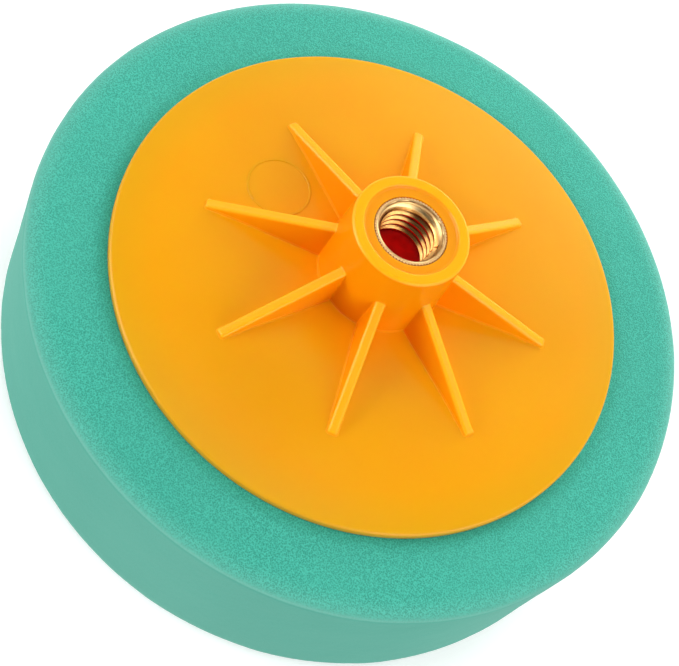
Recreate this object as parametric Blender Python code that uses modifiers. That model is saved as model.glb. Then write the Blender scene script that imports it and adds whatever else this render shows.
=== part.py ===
"""A 150 mm foam polishing pad with a moulded plastic backing plate and an M14 brass insert.

The pad lies on its flat working face at z = 0, and its spin axis is +Z, towards the polisher.
Five pieces are stacked on that axis: the foam, a film of hot-melt adhesive, the backing plate with
its hub and eight ribs, the threaded insert, and the disc that closes the insert's lower end.
Lengths are in metres.
"""

from math import cos, pi, radians, sin, tan

import bmesh
import bpy
from mathutils import Matrix

GAP = 0.0003  # between neighbouring pieces

# The foam
FOAM_BACK_RADIUS = 0.0750
FOAM_FACE_RADIUS = 0.0752
FOAM_THICKNESS = 0.0380
FOAM_BACK_EDGE = 0.0015  # edge radius beside the plate
FOAM_FACE_EDGE = 0.0050  # edge radius of the working face

# The adhesive film
ADHESIVE_RADIUS = 0.0560
ADHESIVE_THICKNESS = 0.0003
ADHESIVE_BOTTOM = FOAM_THICKNESS + GAP

# The backing plate: a disc that thins towards its rim
PLATE_RADIUS = 0.0580
PLATE_BOTTOM = ADHESIVE_BOTTOM + ADHESIVE_THICKNESS + GAP
RIM_TOP = 0.0401
RIM_EDGE = 0.0005
CENTRE_TOP = 0.0423
TAPER_START = 0.0280  # radius where the thinning starts
TAPER_POWER = 1.6
TAPER_POINTS = 7

# The hub on the plate
HUB_TOP = 0.0623
HUB_TOP_RADIUS = 0.0129
HUB_BASE_RADIUS = 0.0138
HUB_FILLET = 0.0010
HUB_CHAMFER = 0.0004
RECESS_RADIUS = 0.0103
RECESS_DEPTH = 0.0007

# The ribs
RIB_COUNT = 8
RIB_INNER_RADIUS = 0.0110  # buried in the hub wall
RIB_TIP_RADIUS = 0.0400
RIB_ROOT_RADIUS = 0.0135  # where a rib's top edge meets the hub
RIB_ROOT_Z = 0.0527
RIB_TIP_Z = 0.0421
RIB_TOP_WIDTH = 0.0023
RIB_BASE_WIDTH = 0.0033
RIB_BEVEL = 0.0004

# The brass insert, an M14 x 2 internal thread
INSERT_RADIUS = 0.0080
INSERT_TOP = HUB_TOP - RECESS_DEPTH + 0.0001
INSERT_LENGTH = 0.0105
INSERT_BOTTOM = INSERT_TOP - INSERT_LENGTH
THREAD_PITCH = 0.0020
THREAD_MAJOR_RADIUS = 0.0070
THREAD_DEPTH = 0.5413 * THREAD_PITCH
THREAD_MINOR_RADIUS = THREAD_MAJOR_RADIUS - THREAD_DEPTH
THREAD_ROOT_FLAT = THREAD_PITCH / 8
THREAD_HALF_ANGLE = radians(30)
MOUTH_CHAMFER = THREAD_MAJOR_RADIUS - THREAD_MINOR_RADIUS
OUTER_CHAMFER = 0.0003

# The disc under the insert
SEAL_RADIUS = 0.0076
SEAL_THICKNESS = 0.0015
SEAL_TOP = INSERT_BOTTOM - GAP
SEAL_BOTTOM = SEAL_TOP - SEAL_THICKNESS

# The pocket in the hub for the insert and the disc
POCKET_RADIUS = INSERT_RADIUS + GAP
POCKET_BOTTOM = SEAL_BOTTOM - GAP

BODY_STEPS = 96  # sides of the large round pieces
INSERT_STEPS = 48
MERGE = 0.00001


def clear_scene():
    for thing in list(bpy.data.objects):
        bpy.data.objects.remove(thing, do_unlink=True)


def new_collection(name):
    collection = bpy.data.collections.new(name)
    bpy.context.scene.collection.children.link(collection)
    return collection


def new_material(name, color, roughness, metallic=0.0, subsurface=0.0):
    material = bpy.data.materials.new(name)
    material.use_nodes = True
    shader = material.node_tree.nodes["Principled BSDF"]
    shader.inputs["Base Color"].default_value = (*color, 1.0)
    shader.inputs["Roughness"].default_value = roughness
    shader.inputs["Metallic"].default_value = metallic
    shader.inputs["Subsurface Weight"].default_value = subsurface
    return material


def foam_material():
    return new_material("green_foam", (0.09, 0.48, 0.36), 0.95)


def adhesive_material():
    return new_material("hot_melt_adhesive", (0.72, 0.62, 0.38), 0.55, subsurface=0.2)


def plate_material():
    return new_material("amber_plastic", (0.93, 0.37, 0.015), 0.35, subsurface=0.1)


def brass_material():
    return new_material("brass", (0.80, 0.60, 0.30), 0.28, metallic=1.0)


def seal_material():
    return new_material("red_plastic", (0.45, 0.004, 0.004), 0.5)


def arc(centre_r, centre_z, radius, start, end, count):
    """Points of an arc in the profile plane, angles in degrees from +X towards +Z."""
    angles = [radians(start + (end - start) * i / count) for i in range(count + 1)]
    return [(centre_r + radius * cos(a), centre_z + radius * sin(a)) for a in angles]


def profile_mesh(name, points, closed):
    mesh = bpy.data.meshes.new(name)
    edges = [(i, i + 1) for i in range(len(points) - 1)]
    if closed:
        edges.append((len(points) - 1, 0))
    mesh.from_pydata([(r, 0.0, z) for r, z in points], edges, [])
    return mesh


def add_screw(thing, steps, rise=0.0, turns=1):
    screw = thing.modifiers.new("turn", "SCREW")
    screw.axis = "Z"
    screw.angle = 2 * pi
    screw.steps = steps
    screw.render_steps = steps
    screw.screw_offset = rise
    screw.iterations = turns
    screw.use_merge_vertices = rise == 0.0
    screw.merge_threshold = MERGE
    screw.use_normal_calculate = False
    return screw


def turned(name, points, collection, steps=BODY_STEPS, closed=False):
    """A turned piece. Its profile runs down the outer side; an open one starts and ends on the axis."""
    thing = bpy.data.objects.new(name, profile_mesh(name, points, closed))
    collection.objects.link(thing)
    add_screw(thing, steps)
    return thing


def freeze(thing):
    """Replaces an object's mesh with the evaluated one, so that it holds the finished shape."""
    bpy.context.view_layer.update()
    evaluated = thing.evaluated_get(bpy.context.evaluated_depsgraph_get())
    mesh = bpy.data.meshes.new_from_object(evaluated)
    thing.modifiers.clear()
    thing.data = mesh


def finish_piece(thing, material, sharp=35.0):
    freeze(thing)
    thing.data.materials.clear()
    thing.data.materials.append(material)
    thing.data.shade_smooth()
    thing.data.set_sharp_from_angle(angle=radians(sharp))


def hide_tool(thing):
    thing.hide_render = True
    thing.display_type = "WIRE"


def add_boolean(thing, operation, tool):
    boolean = thing.modifiers.new(operation.lower(), "BOOLEAN")
    boolean.operation = operation
    boolean.solver = "EXACT"
    boolean.object = tool


def make_foam_pad(parts):
    back = FOAM_THICKNESS - FOAM_BACK_EDGE
    points = [(0.0, FOAM_THICKNESS)]
    points += arc(FOAM_BACK_RADIUS - FOAM_BACK_EDGE, back, FOAM_BACK_EDGE, 90, 0, 4)
    points += arc(FOAM_FACE_RADIUS - FOAM_FACE_EDGE, FOAM_FACE_EDGE, FOAM_FACE_EDGE, 0, -90, 6)
    points += [(0.0, 0.0)]
    finish_piece(turned("foam_pad", points, parts), foam_material())


def make_adhesive_layer(parts):
    top = ADHESIVE_BOTTOM + ADHESIVE_THICKNESS
    points = [(0.0, top), (ADHESIVE_RADIUS, top), (ADHESIVE_RADIUS, ADHESIVE_BOTTOM)]
    points += [(0.0, ADHESIVE_BOTTOM)]
    finish_piece(turned("adhesive_layer", points, parts), adhesive_material())


def plate_top(radius):
    """Height of the plate's upper face: flat round the hub, then falling in a smooth curve to the rim."""
    share = max(0.0, (radius - TAPER_START) / (PLATE_RADIUS - TAPER_START))
    return CENTRE_TOP - (CENTRE_TOP - RIM_TOP) * share**TAPER_POWER


def plate_profile():
    recess_floor = HUB_TOP - RECESS_DEPTH
    outer = HUB_BASE_RADIUS + HUB_FILLET
    points = [(0.0, POCKET_BOTTOM), (POCKET_RADIUS, POCKET_BOTTOM), (POCKET_RADIUS, recess_floor)]
    points += [(RECESS_RADIUS, recess_floor), (RECESS_RADIUS, HUB_TOP)]
    points += [(HUB_TOP_RADIUS - HUB_CHAMFER, HUB_TOP), (HUB_TOP_RADIUS, HUB_TOP - HUB_CHAMFER)]
    points += arc(outer, plate_top(outer) + HUB_FILLET, HUB_FILLET, 180, 270, 4)
    taper = PLATE_RADIUS - RIM_EDGE - TAPER_START
    radii = [TAPER_START + taper * i / TAPER_POINTS for i in range(TAPER_POINTS)]
    points += [(r, plate_top(r)) for r in radii]
    points += arc(PLATE_RADIUS - RIM_EDGE, RIM_TOP - RIM_EDGE, RIM_EDGE, 90, 0, 3)
    points += [(PLATE_RADIUS, PLATE_BOTTOM), (0.0, PLATE_BOTTOM)]
    return points


def rib_top(radius):
    slope = (RIB_ROOT_Z - RIB_TIP_Z) / (RIB_TIP_RADIUS - RIB_ROOT_RADIUS)
    return RIB_TIP_Z + slope * (RIB_TIP_RADIUS - radius)


def make_ribs(tools):
    """Eight tapered wedges in one object, each sunk into the hub and the plate."""
    bottom = (PLATE_BOTTOM + CENTRE_TOP) / 2
    shape = bmesh.new()
    for i in range(RIB_COUNT):
        corners = bmesh.ops.create_cube(shape, size=2.0)["verts"]
        for corner in corners:
            outside, side, up = corner.co
            radius = RIB_TIP_RADIUS if outside > 0 else RIB_INNER_RADIUS
            width = RIB_TOP_WIDTH if up > 0 else RIB_BASE_WIDTH
            height = rib_top(radius) if up > 0 else bottom
            corner.co = (radius, side * width / 2, height)
        turn = Matrix.Rotation(2 * pi * i / RIB_COUNT, 3, "Z")
        bmesh.ops.rotate(shape, cent=(0, 0, 0), matrix=turn, verts=corners)
    mesh = bpy.data.meshes.new("ribs")
    shape.to_mesh(mesh)
    shape.free()
    ribs = bpy.data.objects.new("ribs", mesh)
    tools.objects.link(ribs)
    bevel = ribs.modifiers.new("round_edges", "BEVEL")
    bevel.width = RIB_BEVEL
    bevel.segments = 2
    hide_tool(ribs)
    return ribs


def make_backing_plate(parts, tools):
    plate = turned("backing_plate", plate_profile(), parts)
    add_boolean(plate, "UNION", make_ribs(tools))
    finish_piece(plate, plate_material())


def thread_cutter(tools):
    """The helical groove of the thread, as a closed screw-shaped bar longer than the insert."""
    inner = THREAD_MINOR_RADIUS - 0.0006
    half_root = THREAD_ROOT_FLAT / 2
    half_mouth = half_root + (THREAD_MAJOR_RADIUS - inner) * tan(THREAD_HALF_ANGLE)
    outline = [(inner, half_mouth), (THREAD_MAJOR_RADIUS, half_root)]
    outline += [(r, -z) for r, z in reversed(outline)]
    start = INSERT_BOTTOM - 1.5 * THREAD_PITCH
    turns = int(INSERT_LENGTH / THREAD_PITCH) + 3
    points = [(r, start + z) for r, z in outline]
    cutter = bpy.data.objects.new("thread_cutter", profile_mesh("thread_cutter", points, True))
    tools.objects.link(cutter)
    add_screw(cutter, INSERT_STEPS, rise=THREAD_PITCH, turns=turns)
    freeze(cutter)
    shape = bmesh.new()
    shape.from_mesh(cutter.data)
    ends = [edge for edge in shape.edges if edge.is_boundary]
    bmesh.ops.holes_fill(shape, edges=ends, sides=0)
    bmesh.ops.recalc_face_normals(shape, faces=shape.faces)
    shape.to_mesh(cutter.data)
    shape.free()
    hide_tool(cutter)
    return cutter


def make_threaded_insert(parts, tools):
    rim = INSERT_RADIUS - OUTER_CHAMFER
    points = [(THREAD_MINOR_RADIUS, INSERT_TOP - MOUTH_CHAMFER), (THREAD_MAJOR_RADIUS, INSERT_TOP)]
    points += [(rim, INSERT_TOP), (INSERT_RADIUS, INSERT_TOP - OUTER_CHAMFER)]
    points += [(INSERT_RADIUS, INSERT_BOTTOM + OUTER_CHAMFER), (rim, INSERT_BOTTOM)]
    points += [(THREAD_MINOR_RADIUS, INSERT_BOTTOM)]
    insert = turned("threaded_insert", points, parts, INSERT_STEPS, closed=True)
    add_boolean(insert, "DIFFERENCE", thread_cutter(tools))
    finish_piece(insert, brass_material(), sharp=25.0)


def make_bore_seal_disc(parts):
    points = [(0.0, SEAL_TOP), (SEAL_RADIUS, SEAL_TOP), (SEAL_RADIUS, SEAL_BOTTOM)]
    points += [(0.0, SEAL_BOTTOM)]
    finish_piece(turned("bore_seal_disc", points, parts, INSERT_STEPS), seal_material())


def main():
    clear_scene()
    parts = new_collection("polishing_pad")
    tools = new_collection("cutters")
    make_foam_pad(parts)
    make_adhesive_layer(parts)
    make_backing_plate(parts, tools)
    make_threaded_insert(parts, tools)
    make_bore_seal_disc(parts)


main()
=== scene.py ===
"""The looks of the foam polishing pad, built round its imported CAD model.

The foam, the backing plate, the threaded insert and the disc in its bore are replaced by finer
meshes that are worked out here. The adhesive film keeps its CAD mesh and gets a material. Shapes
are worked out in millimetres and scaled to metres when their mesh is made. The spin axis is +Z.
"""

from math import atan2, cos, pi, radians, sin, tan

import bmesh
import bpy
import numpy as np
from mathutils import Matrix, Vector, noise


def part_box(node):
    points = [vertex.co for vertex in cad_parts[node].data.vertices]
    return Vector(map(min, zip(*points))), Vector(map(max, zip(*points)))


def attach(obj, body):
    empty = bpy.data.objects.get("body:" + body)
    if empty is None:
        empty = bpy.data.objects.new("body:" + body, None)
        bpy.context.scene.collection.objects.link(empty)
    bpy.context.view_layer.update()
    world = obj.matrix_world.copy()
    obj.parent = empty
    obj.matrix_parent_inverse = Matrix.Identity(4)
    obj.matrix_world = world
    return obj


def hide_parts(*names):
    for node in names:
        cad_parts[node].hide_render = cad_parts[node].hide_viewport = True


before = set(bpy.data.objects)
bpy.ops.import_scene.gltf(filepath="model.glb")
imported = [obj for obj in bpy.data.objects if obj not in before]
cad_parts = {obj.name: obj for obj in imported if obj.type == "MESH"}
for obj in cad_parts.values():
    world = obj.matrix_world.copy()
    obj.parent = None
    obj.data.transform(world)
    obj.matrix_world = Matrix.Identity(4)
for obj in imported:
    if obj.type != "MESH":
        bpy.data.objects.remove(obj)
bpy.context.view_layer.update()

MM = 0.001


def node_size(node):
    """The outer radius, lowest point and highest point of a CAD node, in millimetres."""
    low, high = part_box(node)
    return high[0] / MM, low[2] / MM, high[2] / MM


FOAM_RADIUS, FOAM_FACE, FOAM_BACK = node_size("foam_pad")
PLATE_RADIUS, _, HUB_TOP = node_size("backing_plate")
INSERT_RADIUS, INSERT_BOTTOM, INSERT_TOP = node_size("threaded_insert")
SEAL_RADIUS, SEAL_BOTTOM, SEAL_TOP = node_size("bore_seal_disc")
ADHESIVE_RADIUS, _, ADHESIVE_TOP = node_size("adhesive_layer")

# The foam
FOAM_STEPS = 720
FOAM_MIDDLE = 0.5  # radius of the flat polygon in the middle of each face
FOAM_SINK = 0.2  # how much narrower the foam is at its back than at its working face
FOAM_SEAT = FOAM_BACK + 0.12  # top of the foam under the plate, clear of the adhesive and lip
BACK_EDGE_WIDTH = 3.2  # the back's edge is an ellipse, wider than it is deep
BACK_EDGE_DEPTH = 1.1
FACE_EDGE = 5.0
PORE_DEPTH = 0.10
SIDE_PORE_DEPTH = 0.035
PORE_CEILING = 0.25  # the cut flattens whatever stands above this
WAVE_DEPTH = 0.10

# The backing plate
LIP_BOTTOM = FOAM_BACK + 0.2
LIP_EDGE = 0.25
LIP_INNER_RADIUS = ADHESIVE_RADIUS + 0.2
RIM_TOP = FOAM_BACK + 2.1
CENTRE_TOP = FOAM_BACK + 4.3
TAPER_START = 28.0
TAPER_POWER = 1.6
RIM_ROUND = 0.6
HUB_TOP_RADIUS = 12.9
HUB_BASE_RADIUS = 13.8
HUB_TOP_ROUND = 0.75
HUB_FILLET = 0.25
RECESS_RADIUS = 10.3
RECESS_FLOOR = HUB_TOP - 0.7
RECESS_ROUND = 0.45
POCKET_RADIUS = INSERT_RADIUS + 0.04
POCKET_FLOOR = SEAL_BOTTOM - 0.3
POCKET_ROUND = 0.1
RIB_COUNT = 8
RIB_TIP = 40.0
RIB_TIP_Z = CENTRE_TOP + 0.15
RIB_ROOT = 13.5
RIB_ROOT_Z = CENTRE_TOP + 10.4
RIB_HALF_WIDTH = 1.15
RIB_DRAFT = 0.05
RIB_ROUND = 0.7
RIB_TIP_ROUND = 0.45
RIB_FILLET = 0.2

# The ring that a mould's marking insert leaves on the plate
MARK_DISTANCE = 28.6  # from the spin axis
MARK_ANGLE = radians(157.5)
MARK_RADIUS = 7.0
MARK_SECTION = [(-0.34, -0.10), (-0.20, 0.10), (0.0, 0.14), (0.20, 0.10), (0.34, -0.10)]
MARK_STEPS = 128

# The insert's thread, a metric one, and its outside
PITCH = 2.0
MAJOR_RADIUS = 7.0
MINOR_RADIUS = MAJOR_RADIUS - 0.5413 * PITCH
CREST_HALF = 1 / 8  # half the width of the crest, as a share of the pitch
FLANK = 5 / 16
TURN_PHASES = np.array([-8, -7.4, -7, -6, -5, -4, -3, -2, -1, 0, 1, 2, 3, 4, 5, 6, 7, 7.4]) / 16
MOUTH_RADIUS = 7.08
MOUTH_DEPTH = 0.3
MOUTH_SLOPE = 0.6
LIP_ROUND = 0.18
KNURL_TEETH = 72
KNURL_DEPTH = 0.36
TOOTH_POINTS = 4
SHOULDER = INSERT_TOP - 0.10  # where the knurl starts, below the lip
# how far inside the outer radius, height, and whether the knurl cuts in there
INSERT_OUTSIDE = [
    (0.68, INSERT_TOP, 0), (0.62, INSERT_TOP - 0.05, 0), (0.58, SHOULDER, 0), (0.10, SHOULDER, 1),
    (0.0, INSERT_TOP - 0.18, 1), (0.0, INSERT_BOTTOM + 0.3, 1), (0.5, INSERT_BOTTOM, 0),
]

# The disc under the insert
SEAL_MIDDLE = 0.2
SEAL_DISH_RADIUS = 5.6
SEAL_RIM_RADIUS = 6.2
SEAL_EDGE = 0.3
SEAL_STEPS = 96


# ---------------------------------------------------------------- meshes


def shade(mesh, sharp):
    """Smooth shading, with edges sharper than that many degrees left sharp."""
    mesh.shade_smooth()
    mesh.set_sharp_from_angle(angle=radians(sharp))


def add_mesh(name, points, faces, sharp=40.0):
    """A smooth-shaded object from points in millimetres."""
    mesh = bpy.data.meshes.new(name)
    mesh.from_pydata((np.asarray(points) * MM).tolist(), [], faces)
    mesh.validate()
    shade(mesh, sharp)
    thing = bpy.data.objects.new(name, mesh)
    bpy.context.scene.collection.objects.link(thing)
    return thing


def edit_mesh(thing):
    """The object's mesh, open for bmesh operators. close_mesh writes it back."""
    shape = bmesh.new()
    shape.from_mesh(thing.data)
    return shape


def close_mesh(thing, shape, sharp):
    shape.to_mesh(thing.data)
    shape.free()
    shade(thing.data, sharp)


def dress(thing, node, material):
    """Puts a piece on the frame: it rides on the one body and stands for its CAD node."""
    thing.data.materials.clear()
    thing.data.materials.append(material)
    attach(thing, "root")
    if node:
        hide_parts(node)


def circle(steps):
    """Evenly spaced angles round the axis."""
    return np.arange(steps) * 2 * pi / steps


def ring_faces(rows, steps, closed=False):
    """Quads between rows of points round the axis. Closed joins the last row to the first."""
    row = np.arange(rows if closed else rows - 1)[:, None]
    step = np.arange(steps)[None, :]
    over, beside = (row + 1) % rows, (step + 1) % steps
    corners = [row * steps + step, row * steps + beside, over * steps + beside, over * steps + step]
    return np.stack(corners, axis=-1).reshape(-1, 4).tolist()


def turned_back(faces):
    return [face[::-1] for face in faces]


def turned_faces(rows, steps):
    """Faces of a turned solid that runs down the outside, with its two ends capped."""
    last = (rows - 1) * steps
    caps = [list(range(steps)), list(range(last, last + steps))[::-1]]
    return turned_back(ring_faces(rows, steps)) + caps


def turn_points(radii, heights, steps):
    """Points of a turned surface, one row for each radius and height."""
    angles = circle(steps)
    x = np.outer(radii, np.cos(angles))
    y = np.outer(radii, np.sin(angles))
    z = np.repeat(np.asarray(heights)[:, None], steps, axis=1)
    return np.stack([x, y, z], axis=-1)


def arc(centre_r, centre_z, width, depth, start, end, count):
    """Points of an ellipse's arc in the profile plane, angles in degrees from +X towards +Z."""
    turns = np.radians(np.linspace(start, end, count + 1))
    return list(zip(centre_r + width * np.cos(turns), centre_z + depth * np.sin(turns)))


def line(start, end, step):
    """Evenly spaced points from start towards end, without end itself."""
    start, end = np.array(start, float), np.array(end, float)
    count = max(1, round(float(np.linalg.norm(end - start)) / step))
    return [tuple(start + (end - start) * i / count) for i in range(count)]


# ---------------------------------------------------------------- foam


def foam_profile():
    """The foam's half section from the middle of its back, round the outside, to its face's middle."""
    back_radius = FOAM_RADIUS - FOAM_SINK
    edge_start = back_radius - BACK_EDGE_WIDTH
    edge_z = FOAM_BACK - BACK_EDGE_DEPTH
    face_start = FOAM_RADIUS - FACE_EDGE
    seat = (PLATE_RADIUS - 0.4, FOAM_SEAT)
    open_back = (PLATE_RADIUS + 0.6, FOAM_BACK)
    points = line((FOAM_MIDDLE, FOAM_SEAT), seat, 9.0)
    points += line(seat, open_back, 0.4)
    points += line(open_back, (edge_start, FOAM_BACK), 0.62)
    points += arc(edge_start, edge_z, BACK_EDGE_WIDTH, BACK_EDGE_DEPTH, 90, 0, 8)[:-1]
    points += line((back_radius, edge_z), (FOAM_RADIUS, FACE_EDGE), 0.78)
    points += arc(face_start, FOAM_FACE + FACE_EDGE, FACE_EDGE, FACE_EDGE, 0, -90, 10)[:-1]
    points += line((face_start, FOAM_FACE), (FOAM_MIDDLE, FOAM_FACE), 2.0)
    return points + [(FOAM_MIDDLE, FOAM_FACE)]


def foam_relief(point, normal):
    """How far a point is moved along its normal: open cells, and the unevenness of the cut."""
    place = Vector(point)
    cells = noise.noise(place / 0.9) + 0.6 * noise.noise(place / 0.5)
    waves = noise.noise(place / 17.0 + Vector((3.1, 7.7, 1.3)))
    waves += 0.5 * noise.noise(place / 6.0)
    depth = PORE_DEPTH if abs(normal[2]) > 0.9 else SIDE_PORE_DEPTH
    height = WAVE_DEPTH * waves + depth * min(cells, PORE_CEILING)
    if normal[2] < -0.5:
        return min(height, 0.0)
    return height


def profile_normals(profile):
    """The outward direction at each point of a profile that runs down the outside."""
    slope = np.gradient(profile, axis=0)
    normal_r, normal_z = -slope[:, 1], slope[:, 0]
    length = np.hypot(normal_r, normal_z)
    return normal_r / length, normal_z / length


def make_foam(material):
    profile = np.array(foam_profile())
    points = turn_points(profile[:, 0], profile[:, 1], FOAM_STEPS)
    angles = circle(FOAM_STEPS)
    under_plate = (profile[:, 0] < PLATE_RADIUS - 0.1) & (profile[:, 1] > FOAM_BACK - 1.0)
    for i, (out, up) in enumerate(zip(*profile_normals(profile))):
        if under_plate[i]:
            continue
        flat = [out * np.cos(angles), out * np.sin(angles), np.full(FOAM_STEPS, up)]
        normals = np.stack(flat, axis=-1)
        relief = [foam_relief(p, n) for p, n in zip(points[i], normals)]
        points[i] += normals * np.array(relief)[:, None]
    points[..., 2] = np.maximum(points[..., 2], FOAM_FACE)
    faces = turned_faces(len(profile), FOAM_STEPS)
    foam = add_mesh("foam_body", points.reshape(-1, 3), faces, sharp=180.0)
    dress(foam, "foam_pad", material)


# ---------------------------------------------------------------- backing plate


def round_union(a, b, radius):
    """Two solids' distances joined with a fillet of that radius."""
    fillet = np.hypot(np.maximum(radius - a, 0), np.maximum(radius - b, 0))
    return np.maximum(radius, np.minimum(a, b)) - fillet


def round_cut(a, b, radius):
    """What two solids share, with the edge between them rounded to that radius."""
    return -round_union(-a, -b, radius)


def plate_top(radius):
    share = np.maximum(0, (radius - TAPER_START) / (PLATE_RADIUS - TAPER_START))
    return CENTRE_TOP - (CENTRE_TOP - RIM_TOP) * share**TAPER_POWER


def hub_distance(radius, z):
    draft = (HUB_BASE_RADIUS - HUB_TOP_RADIUS) / (HUB_TOP - CENTRE_TOP)
    wall = (radius - HUB_TOP_RADIUS - (HUB_TOP - z) * draft) / np.hypot(1, draft)
    return round_cut(wall, z - HUB_TOP, HUB_TOP_ROUND)


def rib_distance(x, y, z, radius):
    """Distance to the nearest of the ribs, which fall in a straight line from the hub to their tips."""
    sector = 2 * pi / RIB_COUNT
    angle = np.arctan2(y, x)
    angle = angle - sector * np.round(angle / sector)
    along, across = radius * np.cos(angle), np.abs(radius * np.sin(angle))
    slope = (RIB_ROOT_Z - RIB_TIP_Z) / (RIB_TIP - RIB_ROOT)
    above = z - RIB_TIP_Z - slope * (RIB_TIP - along)
    side = across - RIB_HALF_WIDTH + RIB_DRAFT * np.minimum(above, 0)
    rib = round_cut(side, above / np.hypot(1, slope), RIB_ROUND)
    return round_cut(rib, along - RIB_TIP, RIB_TIP_ROUND)


def plate_distance(points):
    """Distance to the moulding's surface, negative inside. It has no bottom below the plate's top."""
    x, y, z = points[..., 0], points[..., 1], points[..., 2]
    radius = np.hypot(x, y)
    disc = round_cut(z - plate_top(radius), radius - PLATE_RADIUS, RIM_ROUND)
    body = round_union(disc, hub_distance(radius, z), HUB_FILLET)
    body = round_union(body, rib_distance(x, y, z, radius), RIB_FILLET)
    recess = round_cut(radius - RECESS_RADIUS, RECESS_FLOOR - z, RECESS_ROUND)
    body = round_cut(body, -recess, RECESS_ROUND)
    pocket = np.maximum(radius - POCKET_RADIUS, POCKET_FLOOR - z)
    return round_cut(body, -pocket, POCKET_ROUND)


def distance_slope(points, step=0.002):
    """The slope of the distance field, which points out of the solid."""
    slopes = []
    for axis in range(3):
        shift = np.zeros(3)
        shift[axis] = step
        slopes.append(plate_distance(points + shift) - plate_distance(points - shift))
    return np.stack(slopes, axis=-1) / (2 * step)


def spaced(*stops):
    """Grid lines from (place, step) pairs: from one place to the next they are about step apart."""
    lines = []
    for (start, step), (end, _) in zip(stops, stops[1:]):
        count = max(1, round((end - start) / step))
        lines += [start + (end - start) * i / count for i in range(count)]
    return np.array(lines + [stops[-1][0]])


def plate_grid():
    """Radii, angles and heights of the grid that the surface is read from, finest near its edges."""
    radii = spaced(
        (7.0, 0.5), (7.8, 0.12), (8.4, 0.5), (9.8, 0.12), (10.8, 0.35), (11.9, 0.13), (13.1, 0.3),
        (13.7, 0.18), (15.4, 0.7), (39.0, 0.2), (40.8, 1.2), (56.8, 0.15), (58.4, 0),
    )
    half = pi / RIB_COUNT
    near = spaced(
        (0, radians(0.42)), (radians(3.6), radians(0.85)), (radians(11), radians(1.9)), (half, 0)
    )
    sector = np.concatenate([-near[:0:-1], near[:-1]])
    angles = np.concatenate([sector + 2 * half * i for i in range(RIB_COUNT)])
    heights = spaced(
        (FOAM_BACK + 0.9, 0.2), (RIM_TOP + 0.3, 0.3), (CENTRE_TOP - 0.5, 0.2),
        (CENTRE_TOP + 1.4, 0.45), (HUB_TOP - 1.3, 0.12), (HUB_TOP + 0.3, 0),
    )
    return radii, angles, heights


def pair_along(values, axis):
    """Each grid point's value and its neighbour's along an axis. The angles, axis 1, run round."""
    if axis == 1:
        return values, np.roll(values, -1, 1)
    low, high = [slice(None)] * 3, [slice(None)] * 3
    low[axis], high[axis] = slice(None, -1), slice(1, None)
    return values[tuple(low)], values[tuple(high)]


def shifted(values, others, shifts, cells):
    """Values of the grid edges that lie that far along from each cell, one for each cell."""
    for axis, shift in zip(others, shifts):
        if axis == 1:
            values = np.roll(values, -shift, 1)
        else:
            part = [slice(None)] * 3
            part[axis] = slice(shift, shift + cells[axis])
            values = values[tuple(part)]
    return values


def crossed_quads(crossings, number, ring, ends):
    """A quad round each grid edge that crosses the surface, between the points of its four cells."""
    quads = []
    for axis, crossed in enumerate(crossings):
        i, j, k = np.nonzero(crossed)
        keep = np.ones(len(i), bool)
        if axis != 0:
            keep &= (i > 0) & (i < ends[0])
        if axis != 2:
            keep &= (k > 0) & (k < ends[1])
        i, j, k = i[keep], j[keep], k[keep]
        before = (j - 1) % ring
        if axis == 0:
            corners = [(i, before, k - 1), (i, j, k - 1), (i, j, k), (i, before, k)]
        elif axis == 1:
            corners = [(i - 1, j, k - 1), (i, j, k - 1), (i, j, k), (i - 1, j, k)]
        else:
            corners = [(i - 1, before, k), (i, before, k), (i, j, k), (i - 1, j, k)]
        quads.append(np.stack([number[corner] for corner in corners], axis=-1))
    return np.concatenate(quads)


def surface_net(radii, angles, heights):
    """Points and quads of the plate's surface, with one point in each grid cell that it crosses."""
    x = radii[:, None, None] * np.cos(angles)[None, :, None] + 0 * heights
    y = radii[:, None, None] * np.sin(angles)[None, :, None] + 0 * heights
    z = 0 * radii[:, None, None] + 0 * angles[None, :, None] + heights
    grid = np.stack([x, y, z], axis=-1)
    value = plate_distance(grid)
    cells = (len(radii) - 1, len(angles), len(heights) - 1)
    total = np.zeros(cells + (3,))
    count = np.zeros(cells)
    crossings = []
    for axis in range(3):
        a, b = pair_along(value, axis)
        p, q = pair_along(grid, axis)
        crossed = (a < 0) != (b < 0)
        share = np.where(crossed, a / np.where(crossed, a - b, 1), 0)[..., None]
        place = np.where(crossed[..., None], p + (q - p) * share, 0)
        crossings.append(crossed)
        others = [other for other in range(3) if other != axis]
        for shifts in ((0, 0), (0, 1), (1, 0), (1, 1)):
            total += shifted(place, others, shifts, cells)
            count += shifted(crossed, others, shifts, cells)
    used = count > 0
    number = np.full(cells, -1)
    number[used] = np.arange(used.sum())
    points = total[used] / count[used][:, None]
    ends = (len(radii) - 1, len(heights) - 1)
    return points, crossed_quads(crossings, number, len(angles), ends)


def settle(points, rounds=4):
    """Moves points onto the surface along the distance field's slope."""
    for _ in range(rounds):
        slope = distance_slope(points)
        square = np.maximum((slope**2).sum(-1, keepdims=True), 0.05)
        step = plate_distance(points)[:, None] * slope / square
        points = points - np.clip(step, -0.3, 0.3)
    return points


def face_outward(points, quads):
    """Turns quads round where their normal points into the solid."""
    a, b, c, d = (points[quads[:, i]] for i in range(4))
    normal = np.cross(c - a, d - b)
    middle = (a + b + c + d) / 4
    inward = (normal * distance_slope(middle)).sum(-1) < 0
    quads[inward] = quads[inward][:, ::-1]
    return quads


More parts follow.
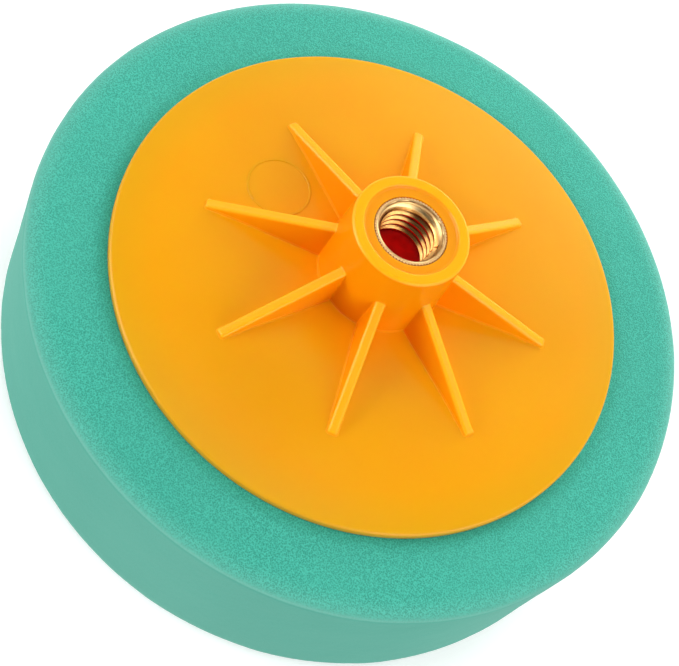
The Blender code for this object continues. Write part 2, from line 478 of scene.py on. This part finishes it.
def close_plate(shape):
    """Closes the net's two open rings: the pocket's floor, and the plate's underside with its lip."""
    open_verts = [vert for vert in shape.verts if vert.is_boundary]
    open_verts.sort(key=lambda vert: atan2(vert.co.y, vert.co.x))
    inner = [vert for vert in open_verts if vert.co.xy.length < PLATE_RADIUS / 2]
    outer = [vert for vert in open_verts if vert.co.xy.length > PLATE_RADIUS / 2]
    shape.faces.new(inner)
    rings = [
        (PLATE_RADIUS, LIP_BOTTOM + LIP_EDGE), (PLATE_RADIUS - LIP_EDGE, LIP_BOTTOM),
        (LIP_INNER_RADIUS, LIP_BOTTOM), (LIP_INNER_RADIUS, ADHESIVE_TOP + 0.05),
    ]
    for radius, height in rings:
        places = [vert.co.xy.normalized() * radius for vert in outer]
        lower = [shape.verts.new((place.x, place.y, height)) for place in places]
        for i in range(len(outer)):
            shape.faces.new((outer[i - 1], outer[i], lower[i], lower[i - 1]))
        outer = lower
    shape.faces.new(outer)
    bmesh.ops.recalc_face_normals(shape, faces=shape.faces)


def make_plate(material):
    points, quads = surface_net(*plate_grid())
    points = settle(points)
    quads = face_outward(points, quads)
    plate = add_mesh("plate_moulding", points, quads.tolist())
    shape = edit_mesh(plate)
    bmesh.ops.scale(shape, vec=(1 / MM,) * 3, verts=shape.verts)
    close_plate(shape)
    bmesh.ops.scale(shape, vec=(MM,) * 3, verts=shape.verts)
    close_mesh(plate, shape, sharp=50.0)
    dress(plate, "backing_plate", material)


def make_mark(material):
    """A plain raised ring, sunk a little into the plate."""
    middle = np.array([MARK_DISTANCE * cos(MARK_ANGLE), MARK_DISTANCE * sin(MARK_ANGLE)])
    angles = circle(MARK_STEPS)
    rows = []
    for across, up in MARK_SECTION:
        x = middle[0] + (MARK_RADIUS + across) * np.cos(angles)
        y = middle[1] + (MARK_RADIUS + across) * np.sin(angles)
        rows.append(np.stack([x, y, plate_top(np.hypot(x, y)) + up], axis=-1))
    faces = turned_back(ring_faces(len(MARK_SECTION), MARK_STEPS, closed=True))
    ring = add_mesh("mould_ring_mark", np.concatenate(rows), faces)
    dress(ring, None, material)


# ---------------------------------------------------------------- insert and seal


def thread_radius(turns):
    """The bore's radius where the thread has turned that far: its crest, flank and root."""
    phase = np.abs(turns - np.round(turns))
    share = np.clip((phase - CREST_HALF) / FLANK, 0, 1)
    return MINOR_RADIUS + (MAJOR_RADIUS - MINOR_RADIUS) * share


def mouth_radius(height):
    """The countersink that the thread starts in, with a short plain mouth and a rounded lip above."""
    depth = INSERT_TOP - height
    lead = MOUTH_RADIUS - MOUTH_SLOPE * np.maximum(depth - MOUTH_DEPTH, 0)
    lip = LIP_ROUND - np.sqrt(np.maximum(LIP_ROUND**2 - np.maximum(LIP_ROUND - depth, 0) ** 2, 0))
    return np.where(depth < LIP_ROUND, MOUTH_RADIUS + lip, lead)


def bore_points(angles):
    """Rows of points that wind down the thread, held flat at the insert's two ends."""
    turns = int((INSERT_TOP - INSERT_BOTTOM) / PITCH) + 3
    offsets = np.concatenate([TURN_PHASES + turn for turn in range(-1, turns)])
    heights = INSERT_BOTTOM + PITCH * (offsets[:, None] + angles[None, :] / (2 * pi))
    heights = np.clip(heights, INSERT_BOTTOM, INSERT_TOP)
    place = (heights - INSERT_BOTTOM) / PITCH - angles[None, :] / (2 * pi)
    radii = np.maximum(thread_radius(place), mouth_radius(heights))
    return np.stack([radii * np.cos(angles), radii * np.sin(angles), heights], axis=-1)


def make_insert(material):
    steps = KNURL_TEETH * TOOTH_POINTS
    angles = circle(steps)
    half = TOOTH_POINTS // 2
    tooth = 1 - np.abs((np.arange(steps) % TOOTH_POINTS) - half) / half
    knurl = KNURL_DEPTH * (1 - tooth)
    outer = []
    for inset, height, toothed in INSERT_OUTSIDE:
        radius = INSERT_RADIUS - inset - knurl * toothed
        row = [radius * np.cos(angles), radius * np.sin(angles), np.full(steps, height)]
        outer.append(np.stack(row, axis=-1))
    points = np.concatenate([bore_points(angles), np.array(outer)])
    faces = ring_faces(len(points), steps, closed=True)
    insert = add_mesh("brass_insert", points.reshape(-1, 3), faces, sharp=38.0)
    shape = edit_mesh(insert)
    bmesh.ops.remove_doubles(shape, verts=shape.verts, dist=1e-7)
    bmesh.ops.recalc_face_normals(shape, faces=shape.faces)
    close_mesh(insert, shape, sharp=38.0)
    dress(insert, "threaded_insert", material)


def make_seal(material):
    """The disc that closes the bore: a shallow dish with a rounded edge."""
    dish = (SEAL_DISH_RADIUS, SEAL_TOP - 0.10)
    rim = (SEAL_RIM_RADIUS, SEAL_TOP)
    edge = (SEAL_RADIUS - SEAL_EDGE, SEAL_TOP)
    points = line((SEAL_MIDDLE, SEAL_TOP - 0.12), dish, 0.9)
    points += line(dish, rim, 0.2) + line(rim, edge, 0.4)
    points += arc(SEAL_RADIUS - SEAL_EDGE, SEAL_TOP - SEAL_EDGE, SEAL_EDGE, SEAL_EDGE, 90, 0, 4)
    points += [(SEAL_RADIUS, SEAL_BOTTOM), (SEAL_MIDDLE, SEAL_BOTTOM)]
    profile = np.array(points)
    turned = turn_points(profile[:, 0], profile[:, 1], SEAL_STEPS).reshape(-1, 3)
    seal = add_mesh("bore_seal", turned, turned_faces(len(profile), SEAL_STEPS))
    dress(seal, "bore_seal_disc", material)


# ---------------------------------------------------------------- materials


def linear(red, green, blue):
    """A colour given as 0 to 255 on screen, as the shader's linear values."""
    values = [c / 255 for c in (red, green, blue)]
    return [c / 12.92 if c <= 0.04045 else ((c + 0.055) / 1.055) ** 2.4 for c in values] + [1.0]


class Nodes:
    """Short calls for building a material's node tree, with coordinates in millimetres."""

    def __init__(self, name):
        self.material = bpy.data.materials.new(name)
        self.material.use_nodes = True
        self.tree = self.material.node_tree
        self.shader = self.tree.nodes["Principled BSDF"]
        self.coordinates = self.add("ShaderNodeTexCoord")
        scale = self.add("ShaderNodeVectorMath", operation="SCALE")
        scale.inputs["Scale"].default_value = 1 / MM
        self.link(self.coordinates.outputs["Object"], scale.inputs[0])
        self.place = scale.outputs[0]

    def add(self, kind, **settings):
        node = self.tree.nodes.new(kind)
        for key, value in settings.items():
            setattr(node, key, value)
        return node

    def link(self, source, target):
        self.tree.links.new(source, target)

    def set(self, **values):
        """Sets shader sockets by name, with _ for a space."""
        for key, value in values.items():
            self.shader.inputs[key.replace("_", " ")].default_value = value

    def drive(self, **outputs):
        """Links node outputs to shader sockets by name, with _ for a space."""
        for key, output in outputs.items():
            self.link(output, self.shader.inputs[key.replace("_", " ")])

    def noise(self, size, detail=2.0, roughness=0.5):
        node = self.add("ShaderNodeTexNoise")
        node.inputs["Scale"].default_value = 1 / size
        node.inputs["Detail"].default_value = detail
        node.inputs["Roughness"].default_value = roughness
        self.link(self.place, node.inputs["Vector"])
        return node.outputs["Fac"]

    def cells(self, size):
        node = self.add("ShaderNodeTexVoronoi")
        node.inputs["Scale"].default_value = 1 / size
        self.link(self.place, node.inputs["Vector"])
        return node.outputs["Distance"]

    def turning_marks(self, height, scale):
        """Noise that changes with height alone, as a lathe leaves it."""
        node = self.add("ShaderNodeTexNoise")
        node.noise_dimensions = "1D"
        node.inputs["Scale"].default_value = scale
        node.inputs["Detail"].default_value = 3.0
        self.link(height, node.inputs["W"])
        return node.outputs["Fac"]

    def cylinder(self):
        """Distance from the spin axis, and height, in millimetres."""
        split = self.add("ShaderNodeSeparateXYZ")
        self.link(self.place, split.inputs[0])
        x, y, z = split.outputs
        squares = self.math("ADD", self.math("MULTIPLY", x, x), self.math("MULTIPLY", y, y))
        return self.math("SQRT", squares, 0.0), z

    def upward(self):
        """How much the surface faces up, from -1 to 1."""
        split = self.add("ShaderNodeSeparateXYZ")
        self.link(self.coordinates.outputs["Normal"], split.inputs[0])
        return split.outputs["Z"]

    def spread(self, value, low, high, to_low=0.0, to_high=1.0):
        """Maps low to high onto to_low to to_high, held at the ends."""
        return ramp_node(self.tree, value, low, high, to_low, to_high)

    def math(self, operation, a, b):
        node = self.add("ShaderNodeMath", operation=operation)
        for socket, item in zip(node.inputs, (a, b)):
            if isinstance(item, (int, float)):
                socket.default_value = item
            else:
                self.link(item, socket)
        return node.outputs[0]

    def mix(self, factor, a, b):
        node = self.add("ShaderNodeMix", data_type="RGBA")
        self.link(factor, node.inputs["Factor"])
        for socket, item in ((node.inputs["A"], a), (node.inputs["B"], b)):
            if isinstance(item, list):
                socket.default_value = item
            else:
                self.link(item, socket)
        return node.outputs["Result"]

    def bump(self, height, distance, strength=1.0):
        node = self.add("ShaderNodeBump")
        node.inputs["Distance"].default_value = distance * MM
        node.inputs["Strength"].default_value = strength
        self.link(height, node.inputs["Height"])
        self.drive(Normal=node.outputs["Normal"])


def ramp_node(tree, value, low, high, at_low, at_high):
    ramp = tree.nodes.new("ShaderNodeMapRange")
    ends = zip(("From Min", "From Max", "To Min", "To Max"), (low, high, at_low, at_high))
    for key, number in ends:
        ramp.inputs[key].default_value = number
    tree.links.new(value, ramp.inputs["Value"])
    return ramp.outputs["Result"]


def painted_foam_sheen(made, radius):
    """Painted sheen, paler towards the foam's cut outside, and a painted highlight on the crest of its
    back's edge.
    """
    upward = made.upward()
    # painted highlight along the crest of the back's rounded edge
    crest = made.math("SUBTRACT", made.spread(upward, 0.35, 0.6), made.spread(upward, 0.75, 0.95))
    outside = made.math("POWER", made.spread(radius, 69.0, 74.8), 2.0)
    # painted sheen, whitening the outer rim of the back and, more faintly, the side
    painted_sheen = made.math("MULTIPLY", outside, made.spread(upward, 0.1, 0.8, 0.014, 0.055))
    return made.math("ADD", made.math("MULTIPLY", crest, 0.045), painted_sheen)


def foam_material():
    made = Nodes("green_open_cell_foam")
    radius, _ = made.cylinder()
    cells = made.spread(made.cells(0.36), 0.1, 0.7)
    fine = made.noise(0.24, 3.0, 0.65)
    speckle = made.math("ADD", made.math("MULTIPLY", cells, 0.45), made.math("MULTIPLY", fine, 0.75))
    contrast = made.spread(radius, 73.2, 74.9, 1.0, 0.12)  # the cut side's cells are closed up
    tone = made.math("MULTIPLY", made.math("SUBTRACT", speckle, 0.6), contrast)
    colour = made.mix(made.spread(tone, -0.36, 0.36), linear(0, 108, 90), linear(72, 181, 160))
    broad = made.spread(made.noise(14.0, 3.0, 0.55), 0.35, 0.65, 0.0, 0.2)
    colour = made.mix(broad, colour, linear(64, 160, 140))
    # painted shade on the foam's back along the plate's rim
    painted_shade_beside_plate = made.spread(radius, PLATE_RADIUS + 0.6, PLATE_RADIUS + 3.0, 0.22, 0.0)
    painted_shade_beside_plate = made.math("MULTIPLY", painted_shade_beside_plate, made.spread(made.upward(), 0.2, 0.6))
    colour = made.mix(painted_shade_beside_plate, colour, linear(0, 118, 90))
    # painted sheen and highlight, mixed in as white
    colour = made.mix(painted_foam_sheen(made, radius), colour, linear(255, 255, 255))
    made.drive(Base_Color=colour, Roughness=made.spread(fine, 0.3, 0.7, 0.72, 0.86))
    made.set(Sheen_Weight=0.22, Sheen_Roughness=0.5, Sheen_Tint=linear(225, 250, 240))
    made.set(Specular_IOR_Level=0.32)
    made.bump(made.math("MULTIPLY", speckle, contrast), 0.16, 0.8)
    return made.material


def height_over_plate(made, radius, height):
    """How far a point is above the plate's own top at its radius, in millimetres."""
    share = made.math("POWER", made.spread(radius, TAPER_START, PLATE_RADIUS), TAPER_POWER)
    drop = made.math("MULTIPLY", share, CENTRE_TOP - RIM_TOP)
    return made.math("ADD", made.math("SUBTRACT", height, CENTRE_TOP), drop)


def plastic_material(name, corner_shade_and_dullness):
    """The moulding's plastic. Its corners are duller and darkened with painted shade by that share."""
    made = Nodes(name)
    radius, height = made.cylinder()
    over = height_over_plate(made, radius, height)
    upward = made.upward()
    broad = made.spread(made.noise(22.0, 2.0), 0.3, 0.7)
    body = made.mix(broad, linear(220, 147, 6), linear(220, 151, 8))
    # painted light: the rim is tinted by the green foam's light, and painted shade makes the plate a
    # deeper orange towards the hub
    body = made.mix(made.spread(radius, 49.0, 57.5, 0.0, 0.9), body, linear(209, 152, 13))
    body = made.mix(made.spread(radius, 15.0, 27.0, 0.6, 0.0), body, linear(230, 140, 1))
    # painted shade makes the walls and corners a deeper orange, and painted light makes the tops of the
    # ribs and hub lighter
    # painted shade in the corners at the feet of ribs and hub, which also makes them duller
    corner = made.spread(over, 0.4, 0.7, corner_shade_and_dullness, 0.0)
    corner = made.math("MULTIPLY", made.spread(over, 0.01, 0.05), corner)
    # painted shade on the walls of ribs and hub
    wall = made.spread(upward, 0.2, 0.6, 1.0, 0.0)
    wall = made.math("MULTIPLY", wall, made.spread(over, 0.05, 0.3))
    shade_colour = made.mix(made.spread(radius, 15.0, 34.0), linear(234, 138, 1), linear(238, 152, 5))
    colour = made.mix(made.math("MAXIMUM", corner, wall), body, shade_colour)
    # painted light on the upward faces of the ribs and hub
    painted_light_top = made.math("MULTIPLY", made.spread(over, 0.35, 0.7), made.spread(radius, 10.2, 10.6))
    painted_light_top = made.math("MULTIPLY", painted_light_top, made.spread(upward, 0.2, 0.6))
    colour = made.mix(painted_light_top, colour, linear(232, 164, 4))
    rough = made.spread(made.noise(5.0, 3.0), 0.3, 0.7, 0.19, 0.27)
    made.drive(Base_Color=colour, Roughness=made.math("ADD", rough, corner))
    made.set(IOR=1.49, Subsurface_Weight=0.3, Subsurface_Scale=0.001)
    made.set(Subsurface_Radius=(2.5, 1.0, 0.2), Specular_IOR_Level=0.36)
    made.bump(made.noise(0.9, 2.0), 0.006, 0.5)
    return made.material


def brass_material():
    """Brass: a stained thread, dark in its roots with painted shade, a mouth made paler with painted
    light, and a duller knurl.
    """
    made = Nodes("turned_brass")
    radius, height = made.cylinder()
    stain = made.noise(1.6, 3.0, 0.6)
    knurl = made.spread(radius, 7.34, 7.45)
    # painted light, paler towards the bore's mouth, which is also rougher
    mouth = made.spread(height, INSERT_TOP - 1.8, INSERT_TOP - 1.3)
    # painted shade in the thread's roots, deep in the bore
    root = made.spread(height, INSERT_TOP - 1.5, INSERT_TOP - 1.1, 0.9, 0.0)
    root = made.math("MULTIPLY", made.spread(radius, 6.35, 6.8), root)
    stained = made.spread(stain, 0.35, 0.75)
    colour = made.mix(stained, linear(246, 192, 118), linear(222, 148, 72))
    colour = made.mix(root, colour, linear(88, 50, 24))
    colour = made.mix(mouth, colour, linear(252, 216, 152))
    colour = made.mix(knurl, colour, linear(226, 190, 132))
    rough = made.spread(stain, 0.3, 0.7, 0.14, 0.24)
    rough = made.math("ADD", rough, made.math("MULTIPLY", knurl, 0.35))
    rough = made.math("ADD", rough, made.math("MULTIPLY", mouth, 0.14))
    metallic = made.math("SUBTRACT", 1.0, made.math("MULTIPLY", knurl, 0.5))
    made.drive(Base_Color=colour, Roughness=rough, Metallic=metallic)
    made.bump(made.turning_marks(height, 11.0), 0.03, 0.6)
    return made.material


def seal_material():
    made = Nodes("red_seal_plastic")
    mottle = made.noise(1.8, 3.0)
    colour = made.mix(made.spread(mottle, 0.3, 0.7), linear(176, 2, 1), linear(206, 5, 2))
    made.drive(Base_Color=colour, Roughness=made.spread(mottle, 0.3, 0.7, 0.42, 0.52))
    made.set(Specular_IOR_Level=0.2)
    made.bump(made.noise(0.4, 2.0), 0.02, 0.4)
    return made.material


def adhesive_material():
    made = Nodes("hot_melt_adhesive")
    streak = made.noise(3.0, 3.0)
    colour = made.mix(made.spread(streak, 0.3, 0.7), linear(214, 190, 130), linear(232, 214, 168))
    made.drive(Base_Color=colour, Roughness=made.spread(streak, 0.3, 0.7, 0.4, 0.6))
    made.bump(streak, 0.1, 0.5)
    return made.material


# ---------------------------------------------------------------- stage, light and camera

# The camera looks at the middle of the foam's back. Turns of the lights are counted from it.
VIEW_AZIMUTH = radians(-17.4)
VIEW_ELEVATION = 0.969
VIEW_DISTANCE = 320.0
VIEW_ROLL = 0.647
AIM_YAW = -0.022
AIM_PITCH = -0.034
LENS = 77.8
SENSOR = 36.0

LIGHT_SIZE = 450.0
LIGHT_DISTANCE = 750.0
# name, turn and elevation in degrees, power in watts
LIGHTS = [
    ("right", 60, 20, 3.7), ("left", 300, 20, 4.4), ("back", 168, 20, 3.0),
    ("low_back", 175, 5, 4.2), ("high_back", 180, 50, 1.4), ("top", 0, 85, 2.7),
]
# turn and elevation in degrees, strength
PANELS = [(88, 44, 1.5), (272, 44, 1.5), (62, 18, 1.5), (298, 18, 3.2)]

FLOOR_RADIUS = 2500.0
FLOOR_DROP = 0.05
FLOOR_STEPS = 64


def camera_axes():
    """The camera's place in millimetres and its right, up and forward directions."""
    centre = np.array([0.0, 0.0, FOAM_BACK])
    flat = np.array([sin(VIEW_AZIMUTH), -cos(VIEW_AZIMUTH)]) * cos(VIEW_ELEVATION)
    back = np.array([flat[0], flat[1], sin(VIEW_ELEVATION)])
    ahead = -back
    right = np.cross(ahead, (0, 0, 1))
    right /= np.linalg.norm(right)
    up = np.cross(right, ahead)
    rolled_right = right * cos(VIEW_ROLL) + up * sin(VIEW_ROLL)
    rolled_up = -right * sin(VIEW_ROLL) + up * cos(VIEW_ROLL)
    ahead = ahead + tan(AIM_YAW) * rolled_right + tan(AIM_PITCH) * rolled_up
    ahead /= np.linalg.norm(ahead)
    right = np.cross(ahead, rolled_up)
    right /= np.linalg.norm(right)
    return centre + back * VIEW_DISTANCE, right, np.cross(right, ahead), ahead


def make_camera():
    place, right, up, ahead = camera_axes()
    data = bpy.data.cameras.new("camera")
    data.lens = LENS
    data.sensor_width = SENSOR
    data.clip_start = 0.01
    camera = bpy.data.objects.new("camera", data)
    turn = Matrix([right, up, -ahead]).transposed().to_4x4()
    camera.matrix_world = Matrix.Translation(Vector(place * MM)) @ turn
    bpy.context.scene.collection.objects.link(camera)
    bpy.context.scene.camera = camera


def toward(turn, elevation):
    """Unit direction at a turn from the camera's azimuth and an elevation, in degrees."""
    azimuth = VIEW_AZIMUTH + radians(turn)
    flat = cos(radians(elevation))
    return Vector((sin(azimuth) * flat, -cos(azimuth) * flat, sin(radians(elevation))))


def make_light(name, turn, elevation, power):
    """A soft box that looks at the pad, left out of reflections: the world holds what they show."""
    data = bpy.data.lights.new(name, "AREA")
    data.size = LIGHT_SIZE * MM
    data.energy = power
    light = bpy.data.objects.new(name, data)
    away = toward(turn, elevation)
    light.location = (away * LIGHT_DISTANCE + Vector((0, 0, FOAM_BACK))) * MM
    light.rotation_euler = (-away).to_track_quat("-Z", "Y").to_euler()
    light.visible_glossy = False
    bpy.context.scene.collection.objects.link(light)


def floor_material():
    """Pale and dull near the pad, so a faint shadow shows, and glowing white where the lights end.
    It is clear from below."""
    material = bpy.data.materials.new("white_floor")
    material.use_nodes = True
    tree = material.node_tree
    shader = tree.nodes["Principled BSDF"]
    shader.inputs["Base Color"].default_value = (0.62, 0.62, 0.62, 1)
    shader.inputs["Roughness"].default_value = 0.9
    shader.inputs["Specular IOR Level"].default_value = 0.0
    shader.inputs["Emission Color"].default_value = (1, 1, 1, 1)
    place = tree.nodes.new("ShaderNodeTexCoord").outputs["Object"]
    reach = tree.nodes.new("ShaderNodeVectorMath")
    reach.operation = "LENGTH"
    tree.links.new(place, reach.inputs[0])
    glow = ramp_node(tree, reach.outputs["Value"], 0.20, 0.75, 0.5, 1.0)
    tree.links.new(glow, shader.inputs["Emission Strength"])
    clear = tree.nodes.new("ShaderNodeBsdfTransparent")
    geometry = tree.nodes.new("ShaderNodeNewGeometry")
    mix = tree.nodes.new("ShaderNodeMixShader")
    tree.links.new(geometry.outputs["Backfacing"], mix.inputs[0])
    tree.links.new(shader.outputs[0], mix.inputs[1])
    tree.links.new(clear.outputs[0], mix.inputs[2])
    tree.links.new(mix.outputs[0], tree.nodes["Material Output"].inputs["Surface"])
    return material


def make_floor():
    """A floor that only the camera sees, so it neither lights the pad nor shows in the brass."""
    rim = turn_points([FLOOR_RADIUS], [-FLOOR_DROP], FLOOR_STEPS)[0]
    floor = add_mesh("floor", rim, [list(range(FLOOR_STEPS))])
    floor.data.materials.append(floor_material())
    floor.visible_diffuse = False
    floor.visible_glossy = False
    floor.visible_shadow = False


def reflected_studio(tree, direction, height):
    """What reflections see: bright low down, dark overhead, with panels on either side."""
    glossy = ramp_node(tree, height, 0.55, 0.90, 0.75, 0.06)
    for turn, elevation, strength in PANELS:
        panel = tree.nodes.new("ShaderNodeVectorMath")
        panel.operation = "DOT_PRODUCT"
        panel.inputs[1].default_value = toward(turn, elevation)
        tree.links.new(direction, panel.inputs[0])
        total = tree.nodes.new("ShaderNodeMath")
        tree.links.new(glossy, total.inputs[0])
        lit = ramp_node(tree, panel.outputs["Value"], 0.87, 0.94, 0.0, strength)
        tree.links.new(lit, total.inputs[1])
        glossy = total.outputs[0]
    return glossy


def make_world():
    """A white studio. Diffuse light comes mostly from below the horizon, where the floor would be."""
    world = bpy.data.worlds.new("studio")
    world.use_nodes = True
    tree = world.node_tree
    background = tree.nodes["Background"]
    direction = tree.nodes.new("ShaderNodeTexCoord").outputs["Generated"]
    split = tree.nodes.new("ShaderNodeSeparateXYZ")
    tree.links.new(direction, split.inputs[0])
    height = split.outputs["Z"]
    path = tree.nodes.new("ShaderNodeLightPath")
    mix = tree.nodes.new("ShaderNodeMix")
    tree.links.new(path.outputs["Is Glossy Ray"], mix.inputs["Factor"])
    tree.links.new(ramp_node(tree, height, -0.05, 0.05, 0.9, 0.15), mix.inputs["A"])
    tree.links.new(reflected_studio(tree, direction, height), mix.inputs["B"])
    seen = tree.nodes.new("ShaderNodeMath")  # the backdrop itself is white
    seen.operation = "MAXIMUM"
    tree.links.new(path.outputs["Is Camera Ray"], seen.inputs[0])
    tree.links.new(mix.outputs["Result"], seen.inputs[1])
    background.inputs["Color"].default_value = (1, 1, 1, 1)
    tree.links.new(seen.outputs[0], background.inputs["Strength"])
    bpy.context.scene.world = world
    bpy.context.scene.view_settings.view_transform = "Standard"


def main():
    make_foam(foam_material())
    make_plate(plastic_material("amber_moulded_plastic", 0.5))
    make_mark(plastic_material("amber_mark_plastic", 0.0))
    make_insert(brass_material())
    make_seal(seal_material())
    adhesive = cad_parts["adhesive_layer"]
    adhesive.data.materials.clear()
    adhesive.data.materials.append(adhesive_material())
    make_floor()
    make_world()
    for light in LIGHTS:
        make_light(*light)
    make_camera()


main()
